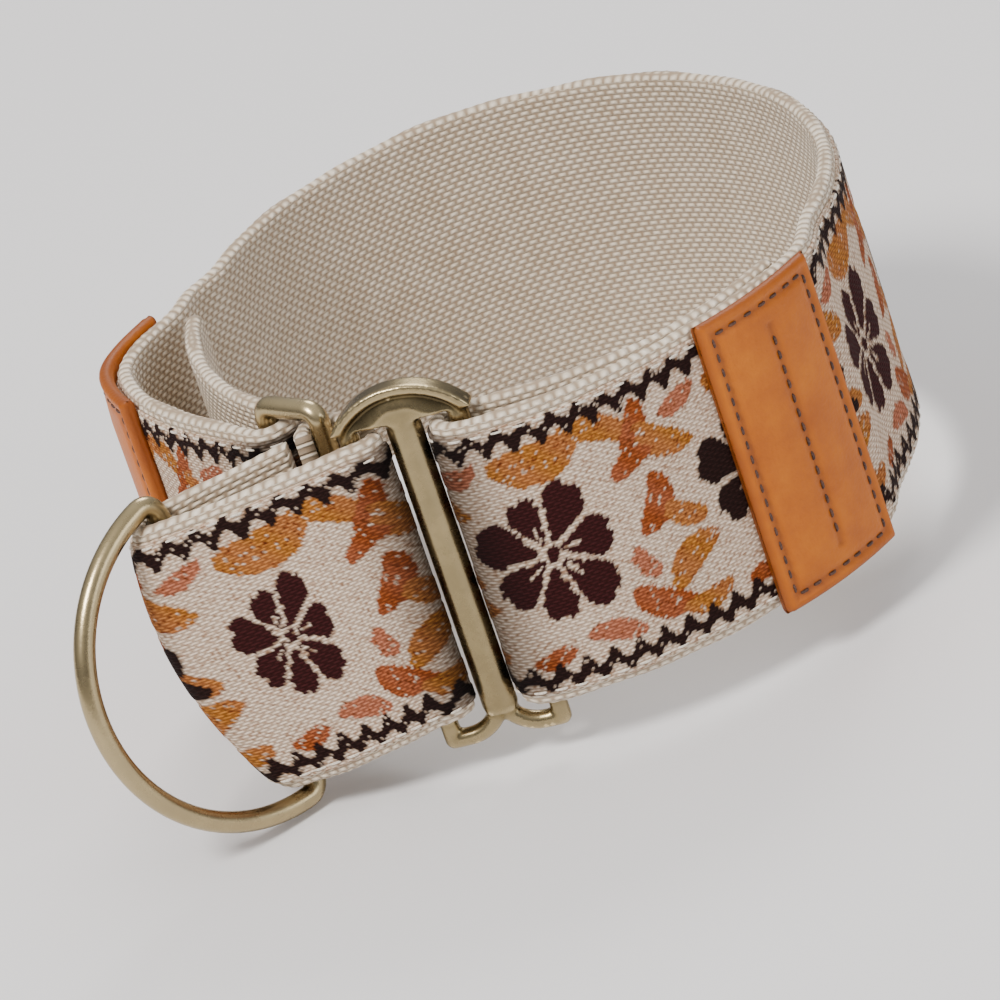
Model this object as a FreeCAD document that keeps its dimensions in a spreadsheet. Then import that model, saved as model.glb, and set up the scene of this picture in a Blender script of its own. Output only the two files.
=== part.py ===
"""Martingale collar: a wide webbing band with a jacquard ribbon, a slide, a ring and a control loop.

The collar keeps the round shape it has on a neck. Z is up along the neck and the origin is the centre of the
neck opening. The front, where the hardware is, faces -Y. Lengths are millimetres and angles are degrees.
"""

import FreeCAD, Part
import math
import os

from FreeCAD import Matrix, Placement, Vector

SIZES = [
    ("neck_half_width", 42.0),
    ("neck_half_depth", 46.5),
    ("strap_width", 40.0),
    ("webbing_thickness", 2.2),
    ("ribbon_width", 37.0),
    ("ribbon_thickness", 0.5),
    ("bend_radius", 2.8),
    ("bar_radius", 1.4),
    ("slot_height", 41.6),
    ("connector_bar_spacing", 7.1),
    ("connector_overhang", 0.8),
    ("connector_depth", 3.0),
    ("connector_end_rise", 5.0),
    ("centre_bar_width", 4.2),
    ("centre_bar_rounding", 1.2),
    ("arm_bend_radius", 5.0),
    ("arm_wire_radius", 1.2),
    ("arm_start", 2.3),
    ("keeper_slot_height", 40.9),
    ("d_ring_radius", 22.2),
    ("label_thickness", 1.8),
    ("label_overhang", 0.4),
    ("thread_width", 0.6),
    ("thread_height", 0.3),
    ("thread_inset", 2.0),
    ("loop_reach", 23.0),
    ("loop_droop", 4.5),
    ("loop_spread", 0.6),
]

doc = FreeCAD.newDocument("martingale_collar")
sheet = doc.addObject("Spreadsheet::Sheet", "sizes")
for row, (alias, value) in enumerate(SIZES, start=1):
    sheet.set(f"A{row}", alias)
    sheet.set(f"B{row}", str(value))
    sheet.setAlias(f"B{row}", alias)
doc.recompute()


def size(alias):
    return float(sheet.get(alias))


UP = Vector(0, 0, 1)
HALF_WEBBING = size("webbing_thickness") / 2
RIBBON_TOP = HALF_WEBBING + size("ribbon_thickness")
SEAM_GAP = 0.05
LABEL_GAP = 0.15  # between a label and the ribbon, which bend to slightly different curves
LABEL_BASE = RIBBON_TOP + LABEL_GAP
LABEL_TOP = LABEL_BASE + size("label_thickness")
BEND = size("bend_radius")
SEWN = 2.4  # two plies of webbing, sewn flat on each other
BULGE = 9.4  # how far the left end stands off the neck at its label

# Angles round the neck, from the front towards the right hand side of the collar.
RIGHT_BAR = -16.5
RIGHT_LABEL = (22.0, 46.0)
RIGHT_TAIL_END = 44.0
RIGHT_PLY = 48.0  # from here the band lies on its own tail
RIGHT_JOIN = 60.0
LEFT_JOIN = 238.0
LEFT_PLY = 250.0
LEFT_TAIL_END = 258.0
LEFT_LABEL = (256.0, 281.0)
LEFT_PEAK = 270.0  # from here the left end runs nearly straight to its ring
KEEPER_LEFT_BAR = 307.5
KEEPER_RIGHT_BAR = 319.0
CONNECTOR_TURN = math.radians(-13.9)  # the connector lies flatter than the neck behind it
LOOP_TURN = math.radians(162.8)
D_RING_LEAN = 50.0
WRAP_END = 130.0  # where the loop leaves the connector's bar on the neck side
WRAP_CUT = 85.0  # where its own turn ends, which leaves room to swing before it meets the next stretch
KEEPER_WRAP_END = 45.0
LEAD_GAP = 1.2  # between the loop's turn at the connector and its stretch through the keeper ring
RETURN_SHARE = 0.6  # where the loop's return layer starts, as a share of the way to the D-ring
STEP = 6.0
FOLD_STEP = 30.0
FOLD_WITH_RIBBON = 4  # the points of a fold, a quarter turn, that the ribbon runs on over
LEG_STEPS = 3
LOOP_LEAD = 1.0  # how far the loop's own turn runs on past the connector's bar
EASE = 1.0  # a short first step past each join, so that two stretches meet in one direction


def smooth(value, start, end):
    """0 at start, 1 at end, with no corner at either."""
    share = min(max((value - start) / (end - start), 0.0), 1.0)
    return share * share * (3 - 2 * share)


def outward(angle):
    """The unit vector that points away from the neck at this angle round it."""
    turn = math.radians(angle)
    slope = Vector(math.sin(turn) / size("neck_half_width"), -math.cos(turn) / size("neck_half_depth"), 0)
    return slope.normalize()


def on_neck(angle, stand_off=0.0):
    """A point on the mid line of the band that lies on the neck, moved outward by stand_off."""
    turn = math.radians(angle)
    base = Vector(size("neck_half_width") * math.sin(turn), -size("neck_half_depth") * math.cos(turn), 0)
    return base + outward(angle) * stand_off


def angles(start, end, step=STEP):
    count = max(2, round(abs(end - start) / step))
    return [start + (end - start) * i / count for i in range(count + 1)]


def fold(centre, out, side, start=0.0, end=180.0):
    """Points round a bar: out at 0 degrees, side at 90 and the neck side at 180."""
    points = []
    for turn in angles(start, end, FOLD_STEP):
        turn = math.radians(turn)
        points.append(centre + (out * math.cos(turn) + side * math.sin(turn)) * BEND)
    return points


def left_hand(path):
    """The unit normals on the left hand of a path of points."""
    curve = Part.BSplineCurve()
    curve.interpolate(path)
    normals = []
    for point in path:
        along = Vector(*curve.tangent(curve.parameter(point))[0])
        normals.append(UP.cross(along).normalize())
    return normals


def strap(path, low, high, width):
    """A closed strap on edge along a path, between two offsets to the path's left, centred on Z = 0."""
    normals = left_hand(path)
    sides = []
    for offset in (low, high):
        side = Part.BSplineCurve()
        side.interpolate([p + n * offset for p, n in zip(path, normals)])
        sides.append(side.toShape())
    ends = []
    for which in (0, 1):
        corners = [side.valueAt(side.ParameterRange[which]) for side in sides]
        ends.append(Part.makeLine(*corners))
    outline = Part.Wire([sides[0], ends[1], sides[1], ends[0]])
    face = Part.Face(outline)
    face.translate(Vector(0, 0, -width / 2))
    return face.extrude(Vector(0, 0, width))


def section(centre, across, thick, low, high, width):
    """A rectangular cut through a strap."""
    half = width / 2
    corners = []
    for side, offset in ((-half, low), (half, low), (half, high), (-half, high)):
        corners.append(centre + across * side + thick * offset)
    return Part.makePolygon(corners + corners[:1])


def frame(origin, x_axis, y_axis):
    """The Placement that carries the X and Y axes onto two directions."""
    z_axis = x_axis.cross(y_axis)
    return Placement(
        Matrix(
            x_axis.x, y_axis.x, z_axis.x, origin.x,
            x_axis.y, y_axis.y, z_axis.y, origin.y,
            x_axis.z, y_axis.z, z_axis.z, origin.z,
            0, 0, 0, 1,
        )
    )


nodes = []


def keep(obj, label):
    obj.Label = label
    nodes.append(obj)
    return obj


def feature(label, shape, placement=None):
    obj = doc.addObject("Part::Feature", label)
    obj.Shape = shape
    obj.Placement = placement or Placement()
    return keep(obj, label)


def primitive(kind, placement=None, **sizes):
    obj = doc.addObject(kind, kind.split("::")[1])
    for name, expression in sizes.items():
        obj.setExpression(name, expression)
    obj.Placement = placement or Placement()
    return obj


def fuse(label, pieces, placement):
    obj = doc.addObject("Part::MultiFuse", label)
    obj.Shapes = pieces
    obj.Placement = placement
    return keep(obj, label)


# The band's own path: round the back, and at each end out over a bar and back under the label.
RIGHT_BAR_AT = on_neck(RIGHT_BAR, BEND)
KEEPER_LEFT_AT = on_neck(KEEPER_LEFT_BAR, BEND)
KEEPER_RIGHT_AT = on_neck(KEEPER_RIGHT_BAR, BEND)


def right_stand_off(angle):
    rise = SEWN * smooth(angle, RIGHT_JOIN, RIGHT_PLY)
    return rise + (2 * BEND - SEWN) * smooth(angle, RIGHT_LABEL[0], RIGHT_BAR)


def left_stand_off(angle):
    rise = SEWN * smooth(angle, LEFT_JOIN, LEFT_PLY)
    rise += (BULGE - SEWN) * smooth(angle, LEFT_PLY, LEFT_PEAK)
    return rise + (2 * BEND - BULGE) * smooth(angle, LEFT_PEAK, KEEPER_LEFT_BAR)


def right_main(start, end):
    return [on_neck(a, right_stand_off(a)) for a in angles(start, end)]


def left_main(start, end):
    return [on_neck(a, left_stand_off(a)) for a in angles(start, end)]


def neck_band():
    width = size("strap_width")
    right_fold = fold(RIGHT_BAR_AT, outward(RIGHT_BAR), outward(RIGHT_BAR).cross(UP))
    left_fold = fold(KEEPER_LEFT_AT, outward(KEEPER_LEFT_BAR), UP.cross(outward(KEEPER_LEFT_BAR)))
    back = [on_neck(a) for a in angles(RIGHT_JOIN, LEFT_JOIN)]
    right_top = right_main(RIGHT_JOIN, RIGHT_BAR)[:-1]
    left_top = left_main(LEFT_JOIN, KEEPER_LEFT_BAR)[:-1]
    back.insert(1, on_neck(RIGHT_JOIN + EASE))
    back.insert(-1, on_neck(LEFT_JOIN - EASE))
    right_top.insert(1, on_neck(RIGHT_JOIN - EASE, right_stand_off(RIGHT_JOIN - EASE)))
    left_top.insert(1, on_neck(LEFT_JOIN + EASE, left_stand_off(LEFT_JOIN + EASE)))
    right_tail = [on_neck(a) for a in angles(RIGHT_BAR, RIGHT_TAIL_END)][1:]
    left_tail = [on_neck(a) for a in angles(KEEPER_LEFT_BAR, LEFT_TAIL_END)][1:]
    feature("neck_webbing_back", strap(back, -HALF_WEBBING, HALF_WEBBING, width))
    right_path = right_top + right_fold + right_tail
    left_path = left_top + left_fold + left_tail
    feature("neck_webbing_right_end", strap(right_path, -HALF_WEBBING, HALF_WEBBING, width))
    feature("neck_webbing_left_end", strap(left_path, -HALF_WEBBING, HALF_WEBBING, width))
    ribbon = size("ribbon_width")
    feature("neck_ribbon_back", strap(back, -HALF_WEBBING, -RIBBON_TOP, ribbon))
    right_face = right_top + right_fold[:FOLD_WITH_RIBBON]
    left_face = left_top + left_fold[:FOLD_WITH_RIBBON]
    feature("neck_ribbon_right_end", strap(right_face, HALF_WEBBING, RIBBON_TOP, ribbon))
    feature("neck_ribbon_left_end", strap(left_face, -HALF_WEBBING, -RIBBON_TOP, ribbon))


def label(side, path, sign):
    """A leather label, sewn on over the end of the webbing by three lines of thread."""
    width = size("strap_width") + 2 * size("label_overhang")
    feature(f"leather_label_{side}", strap(path, sign * LABEL_BASE, sign * LABEL_TOP, width))
    normals = left_hand(path)
    threads = []
    for place in (1, len(path) // 2, len(path) - 2):
        along = (path[place + 1] - path[place - 1]).normalize()
        thick = normals[place] * sign
        at = path[place] + thick * (LABEL_TOP + SEAM_GAP + size("thread_height") / 2)
        length = size("strap_width") - 2 * size("thread_inset")
        thread = Part.makeBox(size("thread_width"), size("thread_height"), length)
        centred = Vector(-size("thread_width") / 2, -size("thread_height") / 2, -length / 2)
        thread.Placement = frame(at, along, UP.cross(along)).multiply(Placement(centred, FreeCAD.Rotation()))
        threads.append(thread)
    feature(f"label_thread_{side}", Part.makeCompound(threads))


# The connector: a cast slide with two slots. The band's right end is folded over its right bar, and the
# control loop over its left one, so its middle bar shows between them.
CONNECTOR_RIGHT = Vector(math.cos(CONNECTOR_TURN), math.sin(CONNECTOR_TURN), 0)
CONNECTOR_AT = RIGHT_BAR_AT - CONNECTOR_RIGHT * size("connector_bar_spacing")
LOOP_BAR_AT = CONNECTOR_AT - CONNECTOR_RIGHT * size("connector_bar_spacing")


def lower_arms(half):
    """The two curled arms that the middle bar splits into. Each runs out to the foot of an outer bar."""
    spacing = size("connector_bar_spacing")
    bend = size("arm_bend_radius")
    top = size("arm_start") - half
    low = top - bend
    wire = "sizes.arm_wire_radius"
    pieces = []
    for side in (-1, 1):
        curl_at = frame(Vector(side * bend, 0, top), UP * -1, Vector(-side, 0, 0))
        curl = primitive("Part::Torus", curl_at, Radius1="sizes.arm_bend_radius", Radius2=wire)
        curl.Angle3 = 90
        flat_from = Vector(min(side * bend, side * spacing), 0, low)
        flat_at = Placement(flat_from, FreeCAD.Rotation(Vector(0, 1, 0), 90))
        flat = primitive("Part::Cylinder", flat_at, Radius=wire)
        flat.Height = spacing - bend
        foot_at = Placement(Vector(side * spacing, 0, low), FreeCAD.Rotation())
        foot = primitive("Part::Cylinder", foot_at, Radius=wire)
        foot.Height = -half - low
        pieces += [curl, flat, foot, primitive("Part::Sphere", foot_at, Radius=wire)]
    return pieces


def connector():
    half = size("slot_height") / 2
    reach = size("connector_bar_spacing") + size("bar_radius") + size("connector_overhang")
    rise = size("connector_end_rise")
    arch_radius = (reach * reach + rise * rise) / (2 * rise)
    depth = size("connector_depth")
    pieces = []
    for side in (-1, 1):
        at = Placement(Vector(side * size("connector_bar_spacing"), 0, -half), FreeCAD.Rotation())
        pieces.append(primitive("Part::Cylinder", at, Radius="sizes.bar_radius", Height="sizes.slot_height"))
    middle = Placement(Vector(-size("centre_bar_width") / 2, -depth / 2, -half), FreeCAD.Rotation())
    middle_bar = primitive("Part::Box", middle, Length="sizes.centre_bar_width")
    middle_bar.setExpression("Width", "sizes.connector_depth")
    middle_bar.setExpression("Height", "sizes.slot_height")
    doc.recompute()
    rounded = doc.addObject("Part::Fillet", "rounded_middle_bar")
    rounded.Base = middle_bar
    radius = size("centre_bar_rounding")
    edges = enumerate(middle_bar.Shape.Edges, start=1)
    rounded.Edges = [(i, radius, radius) for i, edge in edges if edge.BoundBox.ZLength > radius]
    pieces.append(rounded)
    disc = primitive(
        "Part::Cylinder",
        Placement(Vector(0, -depth / 2, half + rise - arch_radius), FreeCAD.Rotation(Vector(1, 0, 0), -90)),
        Height="sizes.connector_depth",
    )
    disc.Radius = arch_radius
    limit = doc.addObject("Part::Box", "arch_limit")
    limit.Length = 2 * arch_radius
    limit.Width = 2 * depth
    limit.Height = rise
    limit.Placement = Placement(Vector(-arch_radius, -depth, half), FreeCAD.Rotation())
    arch = doc.addObject("Part::Common", "arch")
    arch.Base = disc
    arch.Tool = limit
    pieces += [arch] + lower_arms(half)
    back = UP.cross(CONNECTOR_RIGHT)
    fuse("connector_slide", pieces, frame(CONNECTOR_AT, CONNECTOR_RIGHT, back))


def keeper_ring():
    """The plain rectangular ring in the band's left end, behind the control loop."""
    span = KEEPER_RIGHT_AT - KEEPER_LEFT_AT
    half_span = span.Length / 2
    rail_at = size("keeper_slot_height") / 2 + size("bar_radius")
    turned = FreeCAD.Rotation(Vector(0, 1, 0), 90)
    pieces = []
    for side in (-1, 1):
        upright = Placement(Vector(side * half_span, 0, -rail_at), FreeCAD.Rotation())
        bar = primitive("Part::Cylinder", upright, Radius="sizes.bar_radius")
        bar.Height = 2 * rail_at
        lying = Placement(Vector(-half_span, 0, side * rail_at), turned)
        rail = primitive("Part::Cylinder", lying, Radius="sizes.bar_radius")
        rail.Height = 2 * half_span
        pieces += [bar, rail]
        for end in (-1, 1):
            corner = Placement(Vector(side * half_span, 0, end * rail_at), FreeCAD.Rotation())
            pieces.append(primitive("Part::Sphere", corner, Radius="sizes.bar_radius"))
    along = Vector(span).normalize()
    fuse("keeper_ring", pieces, frame(KEEPER_LEFT_AT + along * half_span, along, UP.cross(along)))


# The control loop hangs from the connector's left bar, and reaches left and a little down to the D-ring.
LOOP_FLAT = Vector(math.cos(LOOP_TURN), math.sin(LOOP_TURN), 0)
LOOP_OUT = LOOP_FLAT.cross(UP) * -1
D_BAR_AT = LOOP_BAR_AT + LOOP_FLAT * size("loop_reach") - UP * size("loop_droop")
LOOP_ALONG = (D_BAR_AT - LOOP_BAR_AT).normalize()
LOOP_ACROSS = (UP - LOOP_ALONG * UP.dot(LOOP_ALONG)).normalize()
D_OUT = LOOP_ACROSS.cross(LOOP_ALONG)
D_LEAN = math.radians(D_RING_LEAN)
D_REACH = LOOP_ALONG * math.cos(D_LEAN) + D_OUT * math.sin(D_LEAN)


def control_loop():
    width = size("strap_width")
    ribbon = size("ribbon_width")
    wrap = fold(LOOP_BAR_AT, LOOP_OUT, LOOP_FLAT * -1, 0, WRAP_CUT)
    wrap = [wrap[0] + LOOP_FLAT * LOOP_LEAD] + wrap
    feature("loop_turn_at_connector", strap(wrap, -HALF_WEBBING, HALF_WEBBING, width))
    feature("loop_ribbon_at_connector", strap(wrap, -HALF_WEBBING, -RIBBON_TOP, ribbon))
    layers = (("webbing", -HALF_WEBBING, HALF_WEBBING, width), ("ribbon", HALF_WEBBING, RIBBON_TOP, ribbon))
    outer_from = LOOP_BAR_AT + LOOP_FLAT * (LOOP_LEAD + size("loop_spread"))
    inner_from = LOOP_BAR_AT + (D_BAR_AT - LOOP_BAR_AT) * RETURN_SHARE
    legs_end = D_BAR_AT - LOOP_ALONG * SEAM_GAP
    for name, low, high, across in layers:
        start = section(outer_from, UP, LOOP_OUT, BEND + low, BEND + high, across)
        end = section(legs_end, LOOP_ACROSS, D_OUT, BEND + low, BEND + high, across)
        feature(f"loop_outer_{name}", Part.makeLoft([start, end], True, True))
        start = section(inner_from, LOOP_ACROSS, D_OUT, -BEND - low, -BEND - high, across)
        end = section(legs_end, LOOP_ACROSS, D_OUT, -BEND - low, -BEND - high, across)
        feature(f"loop_return_{name}", Part.makeLoft([start, end], True, True))
        place = frame(D_BAR_AT, LOOP_ALONG, D_OUT * -1)
        turn = fold(Vector(0, 0, 0), Vector(0, -1, 0), Vector(1, 0, 0))
        feature(f"loop_fold_{name}", strap(turn, -low, -high, across), place)


def keeper_turn():
    """The loop's inner stretch: from the connector, under the keeper ring's right bar and up through it."""
    out = outward(KEEPER_RIGHT_BAR)
    side = (KEEPER_LEFT_AT - KEEPER_RIGHT_AT).normalize()
    wrap_end = fold(LOOP_BAR_AT, LOOP_OUT, LOOP_FLAT * -1, 0, WRAP_END)[-1]
    turn = fold(KEEPER_RIGHT_AT, out, side, 180, KEEPER_WRAP_END)
    lead = turn[0] - wrap_end
    start = wrap_end + Vector(lead).normalize() * LEAD_GAP
    leg = [start + (turn[0] - start) * (i / LEG_STEPS) for i in range(LEG_STEPS)]
    feature("loop_turn_at_keeper", strap(leg + turn, -HALF_WEBBING, HALF_WEBBING, size("strap_width")))


def d_ring():
    radius = size("d_ring_radius")
    bow = primitive("Part::Torus", Radius1="sizes.d_ring_radius", Radius2="sizes.bar_radius")
    bow.Angle3 = 180
    along_x = FreeCAD.Rotation(Vector(0, 1, 0), 90)
    lying = Placement(Vector(-radius, 0, 0), along_x)
    bar = primitive("Part::Cylinder", lying, Radius="sizes.bar_radius", Height="2 * sizes.d_ring_radius")
    pieces = [bow, bar]
    for side in (-1, 1):
        corner = Placement(Vector(side * radius, 0, 0), FreeCAD.Rotation())
        pieces.append(primitive("Part::Sphere", corner, Radius="sizes.bar_radius"))
    fuse("d_ring", pieces, frame(D_BAR_AT, LOOP_ACROSS, D_REACH))


neck_band()
label("right", right_main(RIGHT_LABEL[1], RIGHT_LABEL[0]), 1)
label("left", left_main(*LEFT_LABEL), -1)
connector()
keeper_ring()
control_loop()
keeper_turn()
d_ring()
doc.recompute()

for obj in doc.Objects:
    if "Invalid" in obj.State or "Error" in obj.State:
        raise RuntimeError(f"{obj.Label} failed: {obj.State}")
for obj in nodes:
    if obj.Shape.isNull() or not obj.Shape.isValid() or obj.Shape.Volume <= 0:
        raise RuntimeError(f"{obj.Label} has no valid shape")

os.makedirs("parts", exist_ok=True)
for obj in nodes:
    obj.Shape.exportStep(f"parts/{obj.Label}.step")
    box = obj.Shape.BoundBox
    span = f"Z {box.ZMin:.1f} to {box.ZMax:.1f}"
    print(f"{obj.Label}: {obj.Shape.Volume:.0f} mm3, {len(obj.Shape.Solids)} solids, {span}")
for name, point in (
    ("right bar", RIGHT_BAR_AT),
    ("loop bar", LOOP_BAR_AT),
    ("D bar", D_BAR_AT),
    ("loop direction", LOOP_ALONG),
    ("D-ring axis", LOOP_ACROSS),
    ("keeper left bar", KEEPER_LEFT_AT),
    ("keeper right bar", KEEPER_RIGHT_AT),
    ("leash eye", D_BAR_AT + D_REACH * (size("d_ring_radius") / 2)),
    ("leash eye axis", LOOP_ACROSS.cross(D_REACH)),
):
    print(name, [round(v, 4) for v in point])
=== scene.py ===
"""The looks of the martingale collar: woven straps, jacquard ribbon, stitched leather and antique brass."""

import math

import bmesh
import bpy
import numpy as np
from mathutils import Matrix, Vector


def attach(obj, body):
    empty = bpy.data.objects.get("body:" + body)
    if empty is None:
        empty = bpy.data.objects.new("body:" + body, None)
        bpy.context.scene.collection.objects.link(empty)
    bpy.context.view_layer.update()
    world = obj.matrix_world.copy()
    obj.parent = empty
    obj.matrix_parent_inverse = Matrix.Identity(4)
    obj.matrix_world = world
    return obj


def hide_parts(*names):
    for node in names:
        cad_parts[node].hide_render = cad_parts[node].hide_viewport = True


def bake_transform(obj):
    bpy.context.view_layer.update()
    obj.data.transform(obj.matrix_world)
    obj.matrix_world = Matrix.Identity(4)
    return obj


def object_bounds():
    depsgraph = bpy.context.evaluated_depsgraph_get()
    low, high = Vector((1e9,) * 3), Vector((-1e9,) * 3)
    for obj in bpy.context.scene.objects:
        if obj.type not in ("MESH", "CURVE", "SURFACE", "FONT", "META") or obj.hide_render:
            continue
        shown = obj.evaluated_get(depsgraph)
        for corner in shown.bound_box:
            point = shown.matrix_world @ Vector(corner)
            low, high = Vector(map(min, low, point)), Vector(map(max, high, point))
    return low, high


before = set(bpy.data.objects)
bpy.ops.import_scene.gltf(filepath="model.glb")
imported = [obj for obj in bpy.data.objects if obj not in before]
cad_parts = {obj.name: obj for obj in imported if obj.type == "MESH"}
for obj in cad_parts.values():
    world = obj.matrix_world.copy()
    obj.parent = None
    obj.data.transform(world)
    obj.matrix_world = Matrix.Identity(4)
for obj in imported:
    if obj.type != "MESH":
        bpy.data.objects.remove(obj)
cad_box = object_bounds()

# Driving dimensions, in metres and degrees. They are the CAD model's own.
MM = 0.001
NECK_HALF_WIDTH = 42 * MM
NECK_HALF_DEPTH = 46.5 * MM
STRAP_WIDTH = 40 * MM
HALF_WEBBING = 1.1 * MM
RIBBON_WIDTH = 37 * MM
RIBBON_THICK = 0.5 * MM
BEND = 2.8 * MM
WIRE = 1.4 * MM
SLOT_HEIGHT = 41.6 * MM
KEEPER_SLOT_HEIGHT = 40.9 * MM
CONNECTOR_SPACING = 7.1 * MM
CONNECTOR_REACH = 9.3 * MM
CONNECTOR_RISE = 5.0 * MM
CONNECTOR_DEPTH = 3.0 * MM
D_RADIUS = 22.2 * MM
LABEL_THICK = 1.8 * MM
LABEL_LIFT = 0.1 * MM
SEWN = 2.4 * MM
BULGE = 9.4 * MM
RIGHT_BAR, KEEPER_LEFT_BAR, KEEPER_RIGHT_BAR = -16.5, 307.5, 319.0
RIGHT_LABEL, LEFT_LABEL = (22.0, 46.0), (256.0, 281.0)
LEFT_PEAK = 270.0
RIGHT_JOIN, LEFT_JOIN = 60.0, 238.0
RIGHT_PLY, LEFT_PLY = 48.0, 250.0
CONNECTOR_TURN, LOOP_TURN = math.radians(-13.9), math.radians(162.8)
RIGHT_TAIL_END, LEFT_TAIL_END = 44.0, 258.0
LOOP_REACH, LOOP_DROOP = 23.0 * MM, 4.5 * MM
D_RING_LEAN = 50.0
WRAP_END = 124.0
TURN_END = 90.0  # the loop's own turn stops here, which leaves room for it to swing
FOLD_SLACK = 0.28 * MM
LOOP_BULGE = 4.2 * MM
KEEPER_WRAP_END = 30.0
RETURN_GAP = 2.4 * MM
UP = np.array([0.0, 0.0, 1.0])


# --- where things are ---


def unit(v):
    v = np.asarray(v, float)
    return v / np.linalg.norm(v, axis=-1, keepdims=True)


def smooth(value, start, end):
    share = np.clip((value - start) / (end - start), 0, 1)
    return share * share * (3 - 2 * share)


def outward(angle):
    turn = math.radians(angle)
    return unit([math.sin(turn) / NECK_HALF_WIDTH, -math.cos(turn) / NECK_HALF_DEPTH, 0])


def on_neck(angle, stand_off=0.0):
    turn = math.radians(angle)
    base = np.array([NECK_HALF_WIDTH * math.sin(turn), -NECK_HALF_DEPTH * math.cos(turn), 0])
    return base + outward(angle) * stand_off


def stand_off(angle):
    """How far the band stands off the neck: more at its two ends, where it goes out over a bar."""
    if angle <= 180:
        rise = SEWN * smooth(angle, RIGHT_JOIN, RIGHT_PLY)
        return rise + (2 * BEND - SEWN) * smooth(angle, RIGHT_LABEL[0], RIGHT_BAR)
    rise = SEWN * smooth(angle, LEFT_JOIN, LEFT_PLY) + (BULGE - SEWN) * smooth(angle, LEFT_PLY, LEFT_PEAK)
    return rise + (2 * BEND - BULGE) * smooth(angle, LEFT_PEAK, KEEPER_LEFT_BAR)


def main_run(start, end, step=1.0):
    count = max(2, round(abs(end - start) / step))
    return [on_neck(a, stand_off(a)) for a in np.linspace(start, end, count + 1)]


def neck_run(start, end, step=1.0):
    count = max(2, round(abs(end - start) / step))
    return [on_neck(a) for a in np.linspace(start, end, count + 1)]


def fold(centre, out, side, start=0.0, end=180.0, slack=0.0):
    """Points round a bar. Slack is how far the strap stands off it at the turn's far side."""
    count = max(2, round(abs(end - start) / 9))
    turns = np.radians(np.linspace(start, end, count + 1))
    points = []
    for t in turns:
        reach = BEND + slack * math.sin(t) ** 2
        points.append(centre + (out * math.cos(t) + side * math.sin(t)) * reach)
    return points


RIGHT_BAR_AT = on_neck(RIGHT_BAR, BEND)
KEEPER_LEFT_AT = on_neck(KEEPER_LEFT_BAR, BEND)
KEEPER_RIGHT_AT = on_neck(KEEPER_RIGHT_BAR, BEND)
CONNECTOR_RIGHT = np.array([math.cos(CONNECTOR_TURN), math.sin(CONNECTOR_TURN), 0])
LOOP_BAR_AT = RIGHT_BAR_AT - CONNECTOR_RIGHT * 2 * CONNECTOR_SPACING
LOOP_FLAT = np.array([math.cos(LOOP_TURN), math.sin(LOOP_TURN), 0])
LOOP_OUT = -np.cross(LOOP_FLAT, UP)
D_BAR_AT = LOOP_BAR_AT + LOOP_FLAT * LOOP_REACH - UP * LOOP_DROOP
LOOP_ALONG = unit(D_BAR_AT - LOOP_BAR_AT)
LOOP_ACROSS = unit(UP - LOOP_ALONG * LOOP_ALONG[2])
D_OUT = np.cross(LOOP_ACROSS, LOOP_ALONG)


# --- mesh builders ---


def new_piece(name, verts, faces, material):
    mesh = bpy.data.meshes.new(name)
    mesh.from_pydata([tuple(v) for v in verts], [], [tuple(f) for f in faces])
    mesh.polygons.foreach_set("use_smooth", [True] * len(mesh.polygons))
    mesh.materials.append(material)
    mesh.validate()
    mesh.update()
    obj = bpy.data.objects.new(name, mesh)
    bpy.context.scene.collection.objects.link(obj)
    return obj


def resample(points, spacing):
    """Evenly spaced points on a rounded-off copy of a path, and how far along each lies."""
    points = np.array(points)
    keep_rows = np.r_[True, np.linalg.norm(np.diff(points[:, :3], axis=0), axis=1) > 1e-6]
    points = points[keep_rows]
    run = np.r_[0, np.cumsum(np.linalg.norm(np.diff(points[:, :3], axis=0), axis=1))]
    count = max(4, int(round(run[-1] / spacing)))
    along = np.linspace(0, run[-1], count + 1)
    even = np.stack([np.interp(along, run, points[:, k]) for k in range(points.shape[1])], axis=1)
    for _ in range(int(max(1, 0.6 * MM / spacing * 3))):
        even[1:-1] = (even[:-2] + 2 * even[1:-1] + even[2:]) / 4
    return even, along


def strap_frame(points, across, spacing):
    """Stations along a strap: centres, width directions, outward normals and distances."""
    joined = np.concatenate([np.array(points), np.array(across)], axis=1)
    even, along = resample(joined, spacing)
    centre, width = even[:, :3], unit(even[:, 3:])
    tangent = unit(np.gradient(centre, axis=0))
    normal = unit(np.cross(width, tangent))
    return centre, width, normal, along


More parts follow.
